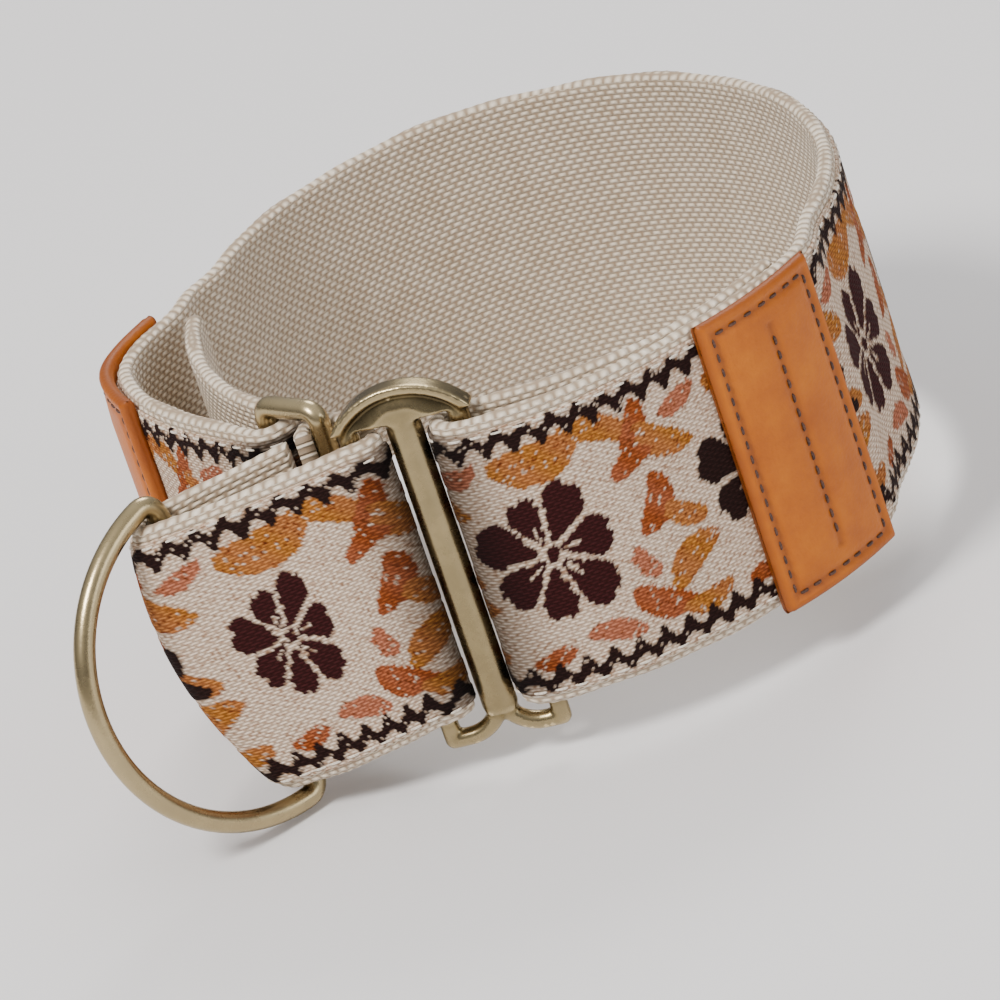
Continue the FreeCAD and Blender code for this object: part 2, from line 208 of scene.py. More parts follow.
def strap(
    name, stations, low, high, width, material,
    sign=1.0, columns=24, roll=0.5, wave=0.0, edge_rib=0.0, back=None,
):
    """A strap with rounded edges between two offsets along its normals, with UVs along and across it."""
    centre, across, normal, along = stations
    half_thick = (high - low) / 2
    middle = (high + low) / 2
    edge = min(half_thick, roll * MM)
    flat = np.linspace(-1, 1, columns)
    under = np.linspace(1, -1, back or columns)
    arc = np.radians(np.linspace(-90, 90, 7))[1:-1]
    ring = [(x * (width / 2 - edge), half_thick) for x in flat]
    ring += [(width / 2 - edge + edge * math.cos(a), half_thick * math.sin(a)) for a in arc[::-1]]
    ring += [(x * (width / 2 - edge), -half_thick) for x in under]
    ring += [(-width / 2 + edge - edge * math.cos(a), half_thick * math.sin(a)) for a in arc]
    ring = np.array(ring)
    rows, size = len(centre), len(ring)
    y = np.repeat(ring[None, :, 0], rows, axis=0)
    z = np.repeat(ring[None, :, 1], rows, axis=0)
    sway = wave * np.sin(along / MM * 0.21 + 0.6) + 0.6 * wave * np.sin(along / MM * 0.53)
    y = y + (sway * MM)[:, None]
    rim = smooth(np.abs(ring[:, 0]), width / 2 - 2.2 * MM, width / 2 - 0.4 * MM)
    rib = edge_rib * MM * np.sin(along / MM * 2 * math.pi / 1.7)
    z = z + np.sign(z) * rim[None, :] * rib[:, None]
    out = sign * (z + middle)
    verts = centre[:, None] + across[:, None] * y[..., None] + normal[:, None] * out[..., None]
    verts = verts.reshape(-1, 3)
    index = np.arange(rows * size).reshape(rows, size)
    a, b = index[:-1], index[1:]
    quads = np.stack([a, b, np.roll(b, -1, axis=1), np.roll(a, -1, axis=1)], axis=-1).reshape(-1, 4)
    faces = [list(q) for q in quads] + [list(index[0]), list(index[-1][::-1])]
    obj = new_piece(name, verts, faces, material)
    fix_normals(obj)
    uv = np.stack([np.repeat(along[:, None], size, axis=1) / MM, y / MM], axis=-1).reshape(-1, 2)
    put_uv(obj, uv)
    return obj


def fix_normals(obj):
    work = bmesh.new()
    work.from_mesh(obj.data)
    bmesh.ops.recalc_face_normals(work, faces=work.faces)
    work.to_mesh(obj.data)
    work.free()


def put_uv(obj, per_vertex):
    """UVs in hundredths of the millimetre values, so that they stay small."""
    layer = obj.data.uv_layers.new(name="weave")
    corners = np.empty(len(obj.data.loops), dtype=np.int64)
    obj.data.loops.foreach_get("vertex_index", corners)
    layer.data.foreach_set("uv", (per_vertex[corners] / 100).astype(np.float32).ravel())


def sweep(name, points, radius, material, closed=True, sides=20):
    """A round wire along a path."""
    points = np.array(points)
    if closed:
        tangent = unit(np.roll(points, -1, axis=0) - np.roll(points, 1, axis=0))
    else:
        tangent = unit(np.gradient(points, axis=0))
    plane = unit(np.cross(points[len(points) // 3] - points[0], points[2 * len(points) // 3] - points[0]))
    side = unit(np.cross(tangent, plane))
    turns = np.linspace(0, 2 * math.pi, sides, endpoint=False)
    ring = side[:, None] * np.cos(turns)[None, :, None] + plane[None, None] * np.sin(turns)[None, :, None]
    verts = (points[:, None] + ring * radius).reshape(-1, 3)
    rows = len(points)
    index = np.arange(rows * sides).reshape(rows, sides)
    faces = []
    for i in range(rows if closed else rows - 1):
        j = (i + 1) % rows
        for k in range(sides):
            m = (k + 1) % sides
            faces.append([index[i][k], index[j][k], index[j][m], index[i][m]])
    if not closed:
        faces += [list(index[0]), list(index[-1][::-1])]
    obj = new_piece(name, verts, faces, material)
    fix_normals(obj)
    return obj


def thread_row(name, spots, length, radius, material):
    """A row of stitches at (centre, direction, normal) spots. Each thread dives at both ends."""
    verts, faces = [], []
    steps, sides = 7, 8
    for centre, direction, normal in spots:
        side = np.cross(direction, normal)
        base = len(verts)
        for i in range(steps):
            share = 2 * i / (steps - 1) - 1
            at = centre + direction * share * length / 2 + normal * radius * (0.55 - 1.3 * share**4)
            thick = radius * (1 - 0.35 * share**4)
            for k in range(sides):
                turn = 2 * math.pi * k / sides
                verts.append(at + (side * math.cos(turn) + normal * math.sin(turn)) * thick)
        for i in range(steps - 1):
            this, following = base + i * sides, base + (i + 1) * sides
            for k in range(sides):
                m = (k + 1) % sides
                faces.append([this + k, this + m, following + m, following + k])
        faces.append([base + k for k in range(sides)])
        faces.append([base + (steps - 1) * sides + k for k in reversed(range(sides))])
    obj = new_piece(name, verts, faces, material)
    fix_normals(obj)
    return obj


# --- the woven pattern ---

FINE = 0.31 * MM  # spacing of the ribbon's mesh
FOLD_PAINTED_SHADE = 0.86  # how much painted shade darkens the ribbon's colour beside a fold
FLOAT_HEIGHT = 0.16 * MM  # how far a pattern yarn stands over the ground

CREAM, SHADOW_CREAM = np.array([0.90, 0.76, 0.63]), np.array([0.56, 0.39, 0.28])
DARK, WINE = np.array([0.022, 0.008, 0.007]), np.array([0.046, 0.009, 0.010])
OCHRE, RUST = np.array([0.50, 0.20, 0.035]), np.array([0.36, 0.085, 0.018])
ROSE = np.array([0.52, 0.19, 0.11])
REPEAT = 28.5  # millimetres from one flower to the next
PIXEL = 0.31  # millimetres to a step of the weave
PETALS = 7
FLOWER_RADIUS = 9.6
FLOWER_TURN = 0.35

# Leaves between two flowers: centre along and across from the flower, length, width, turn, curl, colour.
SPRIGS = [
    (1.5, 13.6, 10.0, 4.2, 8, 0.5, OCHRE),
    (9.8, 12.8, 7.5, 2.8, -28, -0.5, OCHRE),
    (13.6, 12.6, 6.0, 2.2, 62, 0.5, RUST),
    (17.6, 9.4, 7.5, 2.9, -38, 0.45, OCHRE),
    (12.6, 7.4, 5.4, 2.2, 22, -0.4, RUST),
    (20.4, 12.8, 5.0, 2.0, 20, 0.3, ROSE),
    (13.2, 1.6, 7.4, 3.0, 66, 0.6, RUST),
    (17.4, -1.4, 5.6, 2.4, -36, 0.4, OCHRE),
    (10.6, -5.6, 4.4, 1.9, -62, 0.2, ROSE),
    (16.8, -8.2, 8.0, 3.1, 34, -0.5, OCHRE),
    (11.4, -10.8, 7.5, 3.0, -34, 0.5, RUST),
    (16.6, -13.4, 6.4, 2.2, 6, 0.3, OCHRE),
    (4.6, -13.2, 6.6, 2.2, -12, -0.4, ROSE),
    (-3.4, -13.6, 5.0, 1.9, 16, 0.3, RUST),
]


def leaf(x, y, cx, cy, length, width, turn, curl=0.0):
    """True inside a curled leaf shape."""
    c, s = math.cos(math.radians(turn)), math.sin(math.radians(turn))
    u, v = (x - cx) * c + (y - cy) * s, -(x - cx) * s + (y - cy) * c
    v = v - curl * (u * u - (length / 2) ** 2) / length
    taper = np.clip(1 - (2 * u / length) ** 2, 0, 1)
    return (np.abs(u) < length / 2) & (np.abs(v) < width / 2 * np.sqrt(taper))


def flower(x, y, radius, phase):
    """Plump dark petals with notched tips, parted by pale veins, round a pale eye."""
    r = np.hypot(x, y)
    turn = np.arctan2(y, x) + phase
    share = (turn * PETALS / (2 * math.pi)) % 1 - 0.5
    number = np.floor(turn * PETALS / (2 * math.pi)) % PETALS
    length = radius * (0.90 + 0.10 * np.sin(number * 2.4))
    along = r * np.cos(share * 2 * math.pi / PETALS)
    across = r * np.sin(share * 2 * math.pi / PETALS)
    channel = (0.5 - np.abs(share)) * 2 * math.pi / PETALS * r
    middle, half_long, half_wide = length * 0.60, length * 0.42, length * 0.31
    widening = half_wide * (0.70 + 0.45 * along / length)
    petal = ((along - middle) / half_long) ** 2 + (across / widening) ** 2 < 1
    petal &= channel > 0.34
    notch = np.hypot(along - length * 1.03, across) < radius * 0.075
    vein = (np.abs(across) < 0.2) & (along > length * 0.24) & (along < length * 0.50) & (number % 2 == 0)
    eye = (np.hypot(x - 0.3, y) < 0.95) | (np.hypot(x + 1.5, y + 0.7) < 0.55)
    return (petal & ~notch & ~vein) | eye


def jacquard(along, across, start, heading, bloom):
    """Colour and height of the ribbon, by place along and across it. Heading -1 runs the motif backwards."""
    s = np.floor((along - start) * heading / PIXEL) * PIXEL
    w = np.floor(across / PIXEL) * PIXEL
    fleck = np.sin(s * 12.9898 + w * 78.233) * 43758.5453
    fleck = fleck - np.floor(fleck)
    wander = 0.13 * np.sin(w * 3.7 + s * 2.9) + 0.09 * np.sin(s * 5.1 - w * 4.3)
    x = (s + wander + REPEAT / 2) % REPEAT - REPEAT / 2
    number = np.floor((s + wander + REPEAT / 2) / REPEAT)
    y = w + wander * 0.6
    colour = np.repeat(CREAM[None], len(along), axis=0)
    colour[fleck > 0.88] = SHADOW_CREAM
    colour *= (0.93 + 0.1 * fleck)[:, None]
    height = np.zeros(len(along))
    for cx, cy, length, width, turn, curl, tint in SPRIGS:
        hit = np.zeros(len(x), bool)
        for shift in (-REPEAT, 0, REPEAT):
            hit |= leaf(x + shift, y, cx, cy, length * 1.15, width * 1.35, turn, curl)
        blush = 0.5 + 0.5 * np.sin(s[hit] * 0.9 + w[hit] * 0.7)
        flecked = tint * (0.8 + 0.35 * fleck[hit])[:, None]
        colour[hit] = flecked * (1 - 0.35 * blush)[:, None] + ROSE * (0.35 * blush)[:, None]
        height[hit] = 0.6
        colour[hit & (fleck > 0.95)] = CREAM * 0.85
        colour[hit & (fleck < 0.06)] = RUST * 0.6
    hit = flower(x / bloom[0], y / bloom[1], FLOWER_RADIUS, FLOWER_TURN)
    colour[hit] = np.where((number[hit] % 2 == 0)[:, None], WINE, DARK)
    height[hit] = 1.0
    bud = leaf(x, y, -12.9, 1.6, 5.4, 3.2, 62, 0.2) | leaf(x, y, -12.0, -2.2, 4.6, 2.6, -28, 0.2)
    bud &= number % 2 == 0
    colour[bud] = DARK
    height[bud] = 1.0
    distance = RIBBON_WIDTH / MM / 2 - np.abs(w)
    wave = np.abs(((s / 3.3) % 1) * 2 - 1)
    middle = 1.35 + 1.35 * smooth(wave, 0.15, 0.85)
    border = (np.abs(distance - middle) < 0.95 + 0.3 * (wave > 0.7)) & (distance > 0.3) & (fleck > 0.04)
    colour[border] = DARK
    height[border] = 1.0
    return colour, height


def ribbon(name, stations, start, bloom, heading, sign, painted_fold_shade):
    """The jacquard ribbon on the outer face of a strap, with its woven pattern as colour and as relief, and
    painted shade darkening its colour beside the given folds.
    """
    columns = int(RIBBON_WIDTH / FINE)
    low, high = HALF_WEBBING - 0.15 * MM, HALF_WEBBING + RIBBON_THICK * 0.72
    obj = strap(name, stations, low, high, RIBBON_WIDTH, JACQUARD, sign, columns, 0.3, 0.18, back=8)
    mesh = obj.data
    count = len(mesh.vertices)
    size = count // len(stations[0])
    co = np.empty(count * 3)
    mesh.vertices.foreach_get("co", co)
    co = co.reshape(-1, 3)
    along = np.repeat(stations[3], size) / MM
    centre = np.repeat(stations[0], size, axis=0)
    width = np.repeat(stations[1], size, axis=0)
    normal = np.repeat(stations[2], size, axis=0) * sign
    across = ((co - centre) * width).sum(axis=1) / MM
    outer = ((co - centre) * normal).sum(axis=1) > HALF_WEBBING
    colour, height = jacquard(along, across, start, heading, bloom)
    # Painted shade: the ribbon's colour is darkened beside each fold, where it turns away into shade by a
    # bar.
    for place, reach in painted_fold_shade:
        painted_shade_weight = np.exp(-(((along - place) / reach) ** 2))
        colour = colour * (1 - FOLD_PAINTED_SHADE * painted_shade_weight)[:, None]
    lift = np.where(outer, height * FLOAT_HEIGHT, 0)
    mesh.vertices.foreach_set("co", (co + normal * lift[:, None]).ravel())
    layer = mesh.color_attributes.new(name="pattern", type="FLOAT_COLOR", domain="POINT")
    layer.data.foreach_set("color", np.c_[colour, np.ones(count)].astype(np.float32).ravel())
    mesh.update()
    return obj


# --- materials ---


def material(name, base, rough, metallic=0.0):
    mat = bpy.data.materials.new(name)
    mat.use_nodes = True
    shader = mat.node_tree.nodes["Principled BSDF"]
    shader.inputs["Base Color"].default_value = (*base, 1)
    shader.inputs["Roughness"].default_value = rough
    shader.inputs["Metallic"].default_value = metallic
    return mat, mat.node_tree.nodes, mat.node_tree.links, shader


def node(nodes, kind, **values):
    made = nodes.new(kind)
    for name, value in values.items():
        setattr(made, name, value)
    return made


def weave_coordinates(nodes, links):
    """The strap's own coordinates in millimetres: along it and across it."""
    uv = node(nodes, "ShaderNodeUVMap", uv_map="weave")
    grown = node(nodes, "ShaderNodeVectorMath", operation="SCALE")
    grown.inputs["Scale"].default_value = 100
    links.new(uv.outputs[0], grown.inputs[0])
    return grown.outputs[0]


def scaled_noise(nodes, links, source, scale, detail=3.0, rough=0.6):
    noise = node(nodes, "ShaderNodeTexNoise")
    noise.inputs["Scale"].default_value = scale
    noise.inputs["Detail"].default_value = detail
    noise.inputs["Roughness"].default_value = rough
    if source is not None:
        links.new(source, noise.inputs["Vector"])
    return noise.outputs["Fac"]


def sine(nodes, links, source, pitch, phase=None):
    """A wave of this pitch along a socket, from 0 to 1, optionally shifted by another socket."""
    times = node(nodes, "ShaderNodeMath", operation="MULTIPLY")
    times.inputs[1].default_value = 2 * math.pi / pitch
    links.new(source, times.inputs[0])
    value = times.outputs[0]
    if phase is not None:
        added = node(nodes, "ShaderNodeMath", operation="ADD")
        links.new(value, added.inputs[0])
        links.new(phase, added.inputs[1])
        value = added.outputs[0]
    wave = node(nodes, "ShaderNodeMath", operation="SINE")
    links.new(value, wave.inputs[0])
    shift = node(nodes, "ShaderNodeMath", operation="MULTIPLY_ADD")
    shift.inputs[1].default_value = 0.5
    shift.inputs[2].default_value = 0.5
    links.new(wave.outputs[0], shift.inputs[0])
    return shift.outputs[0]


def math_node(nodes, links, operation, a, b=None):
    made = node(nodes, "ShaderNodeMath", operation=operation)
    for place, value in enumerate((a, b)):
        if value is None:
            continue
        if isinstance(value, (int, float)):
            made.inputs[place].default_value = value
        else:
            links.new(value, made.inputs[place])
    return made.outputs[0]


def woven_height(nodes, links, along_pitch, across_pitch):
    """A plain weave: yarns that pass over and under each other, row by row."""
    vector = weave_coordinates(nodes, links)
    parts = node(nodes, "ShaderNodeSeparateXYZ")
    links.new(vector, parts.inputs[0])
    wobble = scaled_noise(nodes, links, vector, 0.6)
    row = math_node(nodes, links, "DIVIDE", parts.outputs[1], across_pitch)
    row = math_node(nodes, links, "FLOOR", row)
    parity = math_node(nodes, links, "MULTIPLY", math_node(nodes, links, "MODULO", row, 2.0), math.pi)
    phase = math_node(nodes, links, "ADD", parity, math_node(nodes, links, "MULTIPLY", wobble, 1.5))
    over = sine(nodes, links, parts.outputs[0], along_pitch, phase)
    cross = sine(nodes, links, parts.outputs[1], across_pitch)
    return math_node(nodes, links, "MULTIPLY", over, math_node(nodes, links, "POWER", cross, 0.6)), vector


def bump(nodes, links, shader, height, strength, distance):
    made = node(nodes, "ShaderNodeBump")
    made.inputs["Strength"].default_value = strength
    made.inputs["Distance"].default_value = distance
    links.new(height, made.inputs["Height"])
    links.new(made.outputs[0], shader.inputs["Normal"])


def colour_ramp(nodes, links, source, stops):
    ramp = node(nodes, "ShaderNodeValToRGB")
    ramp.color_ramp.elements[0].position, ramp.color_ramp.elements[0].color = stops[0][0], (*stops[0][1], 1)
    ramp.color_ramp.elements[1].position, ramp.color_ramp.elements[1].color = stops[-1][0], (*stops[-1][1], 1)
    for place, colour in stops[1:-1]:
        ramp.color_ramp.elements.new(place).color = (*colour, 1)
    links.new(source, ramp.inputs[0])
    return ramp.outputs[0]


def mix_colours(nodes, links, factor, a, b, blend="MIX"):
    made = node(nodes, "ShaderNodeMix", data_type="RGBA", blend_type=blend)
    for socket, value in ((made.inputs[0], factor), (made.inputs[6], a), (made.inputs[7], b)):
        if isinstance(value, (int, float)):
            socket.default_value = value
        elif isinstance(value, tuple):
            socket.default_value = (*value, 1)
        else:
            links.new(value, socket)
    return made.outputs[2]


def cotton_webbing():
    mat, nodes, links, shader = material("cotton_webbing", (0.8, 0.74, 0.66), 0.92)
    height, vector = woven_height(nodes, links, 1.5, 0.75)
    stain = scaled_noise(nodes, links, vector, 0.25)
    # Painted shade: the colour is darker in the weave's hollows and lighter on the yarns' crests, following
    # the weave's height.
    painted_weave_shade = [(0.0, (0.36, 0.27, 0.19)), (0.35, (0.76, 0.66, 0.53)), (1.0, (0.94, 0.85, 0.73))]
    colour = colour_ramp(nodes, links, height, painted_weave_shade)
    tint = colour_ramp(nodes, links, stain, [(0.3, (0.90, 0.86, 0.80)), (0.7, (1.0, 0.99, 0.97))])
    links.new(mix_colours(nodes, links, 1.0, colour, tint, "MULTIPLY"), shader.inputs["Base Color"])
    shader.inputs["Sheen Weight"].default_value = 0.12
    bump(nodes, links, shader, height, 0.9, 0.35 * MM)
    return mat


def jacquard_ribbon():
    mat, nodes, links, shader = material("jacquard_ribbon", CREAM, 0.88)
    shader.inputs["Specular IOR Level"].default_value = 0.12
    height, vector = woven_height(nodes, links, 1.26, 0.42)
    pattern = node(nodes, "ShaderNodeAttribute", attribute_name="pattern")
    fuzz = scaled_noise(nodes, links, vector, 2.4, 2.0)
    # Painted shade: the weave's hollows darken the pattern's colour, following the weave's height.
    painted_weave_shade = [(0.0, (0.50, 0.43, 0.37)), (0.5, (0.94, 0.92, 0.90)), (1.0, (1.0, 1.0, 1.0))]
    shade = colour_ramp(nodes, links, height, painted_weave_shade)
    colour = mix_colours(nodes, links, 1.0, pattern.outputs["Color"], shade, "MULTIPLY")
    tint = colour_ramp(nodes, links, fuzz, [(0.3, (0.80, 0.74, 0.70)), (0.65, (1.0, 1.0, 1.0))])
    links.new(mix_colours(nodes, links, 1.0, colour, tint, "MULTIPLY"), shader.inputs["Base Color"])
    bump(nodes, links, shader, height, 0.8, 0.22 * MM)
    return mat


def tan_leather():
    mat, nodes, links, shader = material("tan_leather", (0.6, 0.22, 0.03), 0.46)
    shader.inputs["Specular IOR Level"].default_value = 0.32
    position = node(nodes, "ShaderNodeTexCoord").outputs["Object"]
    grain = node(nodes, "ShaderNodeTexVoronoi")
    grain.inputs["Scale"].default_value = 1900
    links.new(position, grain.inputs["Vector"])
    cloud = scaled_noise(nodes, links, position, 160, 5.0)
    fine = scaled_noise(nodes, links, position, 2600, 2.0)
    tans = [(0.25, (0.36, 0.080, 0.0)), (0.5, (0.47, 0.115, 0.0)), (0.8, (0.58, 0.160, 0.001))]
    colour = colour_ramp(nodes, links, cloud, tans)
    edge = node(nodes, "ShaderNodeAttribute", attribute_name="worn")
    dark = mix_colours(nodes, links, edge.outputs["Fac"], colour, (0.16, 0.035, 0.006))
    links.new(dark, shader.inputs["Base Color"])
    rough = node(nodes, "ShaderNodeMapRange")
    rough.inputs["To Min"].default_value = 0.36
    rough.inputs["To Max"].default_value = 0.58
    links.new(cloud, rough.inputs["Value"])
    links.new(rough.outputs[0], shader.inputs["Roughness"])
    height = math_node(nodes, links, "ADD", grain.outputs["Distance"], fine)
    bump(nodes, links, shader, height, 0.28, 0.12 * MM)
    return mat


def thread(name, base, rough, stops):
    """Twisted thread, whose plies show as darker and lighter turns."""
    mat, nodes, links, shader = material(name, base, rough)
    position = node(nodes, "ShaderNodeTexCoord").outputs["Object"]
    ply = scaled_noise(nodes, links, position, 3500, 1.0)
    links.new(colour_ramp(nodes, links, ply, stops), shader.inputs["Base Color"])
    bump(nodes, links, shader, ply, 0.5, 0.1 * MM)
    return mat


def antique_brass():
    mat, nodes, links, shader = material("antique_brass", (0.42, 0.36, 0.24), 0.36, 1.0)
    position = node(nodes, "ShaderNodeTexCoord").outputs["Object"]
    cloud = scaled_noise(nodes, links, position, 220, 6.0, 0.65)
    fine = scaled_noise(nodes, links, position, 2200, 3.0)
    golds = [(0.28, (0.075, 0.054, 0.021)), (0.5, (0.150, 0.111, 0.047)), (0.75, (0.26, 0.197, 0.090))]
    colour = colour_ramp(nodes, links, cloud, golds)
    worn = node(nodes, "ShaderNodeNewGeometry").outputs["Pointiness"]
    edge = colour_ramp(nodes, links, worn, [(0.48, (0.0, 0.0, 0.0)), (0.56, (1.0, 1.0, 1.0))])
    bright = mix_colours(nodes, links, edge, colour, (0.62, 0.50, 0.29))
    # This attribute darkens the pockets with patina and the middle bar's flanks with painted shade.
    patina_and_shade = node(nodes, "ShaderNodeAttribute", attribute_name="patina_and_shade")
    old = mix_colours(nodes, links, patina_and_shade.outputs["Fac"], bright, (0.070, 0.052, 0.028))
    links.new(old, shader.inputs["Base Color"])
    rough = node(nodes, "ShaderNodeMapRange")
    rough.inputs["To Min"].default_value = 0.18
    rough.inputs["To Max"].default_value = 0.36
    links.new(cloud, rough.inputs["Value"])
    links.new(rough.outputs[0], shader.inputs["Roughness"])
    bump(nodes, links, shader, math_node(nodes, links, "ADD", fine, cloud), 0.18, 0.08 * MM)
    return mat


COTTON = cotton_webbing()
JACQUARD = jacquard_ribbon()
LEATHER = tan_leather()
THREAD = thread(
    "stitching", (0.05, 0.02, 0.012), 0.6, [(0.3, (0.030, 0.012, 0.008)), (0.7, (0.11, 0.045, 0.025))]
)
CREAM_THREAD = thread(
    "cream_stitching", (0.75, 0.68, 0.58), 0.7, [(0.3, (0.55, 0.47, 0.38)), (0.7, (0.82, 0.76, 0.66))]
)
BRASS = antique_brass()


# --- pieces ---

def upright(points):
    return [UP] * len(points)


def neck_band():
    """The whole neck strap, from its tail under the right label round to its tail under the left one."""
    right_out, left_out = outward(RIGHT_BAR), outward(KEEPER_LEFT_BAR)
    right_turn = fold(RIGHT_BAR_AT, right_out, np.cross(right_out, UP), slack=FOLD_SLACK)[::-1]
    left_turn = fold(KEEPER_LEFT_AT, left_out, np.cross(UP, left_out))
    tails = neck_run(RIGHT_TAIL_END, RIGHT_BAR)[:-1], neck_run(KEEPER_LEFT_BAR, LEFT_TAIL_END)[1:]
    main = main_run(RIGHT_BAR, 180)[1:] + main_run(180.01, KEEPER_LEFT_BAR)[:-1]
    whole = tails[0] + right_turn + main + left_turn + tails[1]
    webbing = strap("neck_webbing", strap_frame(whole, upright(whole), 0.6 * MM), -HALF_WEBBING, HALF_WEBBING,
                    STRAP_WIDTH, COTTON, -1, 44, 1.0, 0.14, 0.10)
    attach(webbing, "neck_band")
    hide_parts("neck_webbing_back", "neck_webbing_right_end", "neck_webbing_left_end")
    shown = right_turn[2:] + main + left_turn[:18]
    face = strap_frame(shown, upright(shown), FINE)
    # Painted shade darkens the ribbon near each end, beside its folds round the bars.
    painted_fold_shades = [(4.0, 6.0), (face[3][-1] / MM - 4.0, 6.5)]
    face_ribbon = ribbon("neck_ribbon", face, NECK_START, NECK_BLOOM, 1, -1, painted_fold_shades)
    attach(face_ribbon, "neck_band")
    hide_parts("neck_ribbon_back", "neck_ribbon_right_end", "neck_ribbon_left_end")
    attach(edge_stitches("neck_ribbon_stitches", face, -1), "neck_band")


def edge_stitches(name, stations, sign):
    """The seam that holds the ribbon: a fine row of stitches just inside each of its edges."""
    centre, across, normal, along = stations
    pitch, length = 2.6 * MM, 1.7 * MM
    spots = []
    for side in (-1, 1):
        for at in np.arange(pitch, along[-1] - pitch, pitch):
            i = int(np.searchsorted(along, at))
            direction = unit(centre[i + 1] - centre[i - 1])
            out = normal[i] * sign
            lift = out * (HALF_WEBBING + RIBBON_THICK * 0.74)
            seam = across[i] * side * (RIBBON_WIDTH / 2 - 0.55 * MM)
            spots.append((centre[i] + seam + lift, direction, out))
    stitches = thread_row(name, spots, length, 0.17 * MM, CREAM_THREAD)
    return stitches


def leather_label(side, start, end):
    """A label of thick leather with rolled edges, pressed in along its stitches."""
    path = main_run(start, end, 0.5)
    stations = strap_frame(path, upright(path), 0.4 * MM)
    sign = -1 if start < end else 1
    base = HALF_WEBBING + RIBBON_THICK * 0.72 + LABEL_LIFT
    width = STRAP_WIDTH + 0.8 * MM
    obj = strap(f"leather_label_{side}", stations, base, base + LABEL_THICK, width, LEATHER, sign, 90, 0.7)
    centre, _, normal, along = stations
    inset, groove = 1.9 * MM, 0.34 * MM
    count = len(obj.data.vertices)
    size = count // len(centre)
    co = np.empty(count * 3)
    obj.data.vertices.foreach_get("co", co)
    co = co.reshape(-1, 3)
    middle, normals = np.repeat(centre, size, axis=0), np.repeat(normal, size, axis=0) * sign
    y = ((co - middle) * UP).sum(axis=1)
    x = np.repeat(along, size)
    high = ((co - middle) * normals).sum(axis=1) > base + LABEL_THICK * 0.6
    to_edge = np.minimum(np.minimum(x, along[-1] - x), width / 2 - np.abs(y))
    line = np.minimum(np.abs(to_edge - inset), 10 * MM)
    in_middle = np.where(np.abs(y) < width / 2 - 4.6 * MM, np.abs(x - along[-1] / 2), 10 * MM)
    line = np.minimum(line, in_middle)
    press = groove * np.exp(-((line / (0.55 * MM)) ** 2))
    rolled = 0.9 * MM * (1 - smooth(np.minimum(x, along[-1] - x), 0, 1.0 * MM)) ** 2
    crown = 0.25 * MM * smooth(to_edge, inset, 7 * MM)
    co += normals * np.where(high, crown - press - rolled, 0)[:, None]
    obj.data.vertices.foreach_set("co", co.ravel())
    worn = np.clip(1 - to_edge / (0.9 * MM), 0, 1) * 0.75 + 0.45 * np.exp(-((line / (0.5 * MM)) ** 2))
    layer = obj.data.color_attributes.new(name="worn", type="FLOAT_COLOR", domain="POINT")
    shade = np.repeat(np.clip(worn, 0, 1)[:, None], 4, axis=1)
    layer.data.foreach_set("color", shade.astype(np.float32).ravel())
    obj.data.update()
    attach(obj, "neck_band")
    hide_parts(f"leather_label_{side}")
    label_stitches(side, stations, sign, base + LABEL_THICK, width, inset, groove)


def label_stitches(side, stations, sign, top, width, inset, groove):
    centre, across, normal, along = stations
    pitch, length = 2.05 * MM, 1.40 * MM
    half = width / 2 - inset
    spots = []

    def spot(x, y, direction, lift=0.0):
        i = int(np.clip(np.searchsorted(along, x), 1, len(along) - 2))
        out = normal[i] * sign
        turn = unit(centre[i + 1] - centre[i - 1]) if direction == "along" else across[i]
        spots.append((centre[i] + across[i] * y + out * (top - groove + lift), turn, out))

    rows = int(2 * half / pitch)
    for i in range(rows):
        y = -half + (i + 0.5) * 2 * half / rows
        spot(inset, y, "across")
        spot(along[-1] - inset, y, "across")
        if abs(y) < width / 2 - 5 * MM:
            spot(along[-1] / 2, y, "across", 0.25 * MM)
    columns = int((along[-1] - 2 * inset) / pitch)
    for i in range(columns):
        x = inset + (i + 0.5) * (along[-1] - 2 * inset) / columns
        spot(x, half, "along")
        spot(x, -half, "along")
    stitches = thread_row(f"label_stitches_{side}", spots, length, 0.22 * MM, THREAD)
    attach(stitches, "neck_band")
    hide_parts(f"label_thread_{side}")


def bulge_fold(piece):
    """The fold is slack round the D-ring's bar, so it bows outward between the two edges."""
    mesh = piece.data
    co = np.empty(len(mesh.vertices) * 3)
    mesh.vertices.foreach_get("co", co)
    co = co.reshape(-1, 3)
    ahead = (co - D_BAR_AT) @ LOOP_ALONG
    across = (co - D_BAR_AT) @ LOOP_ACROSS / (STRAP_WIDTH / 2)
    share = smooth(ahead, -15 * MM, 3 * MM) * np.clip(1 - across**2, 0, 1)
    co += LOOP_ALONG * (share * LOOP_BULGE)[:, None]
    mesh.vertices.foreach_set("co", co.ravel())
    mesh.update()


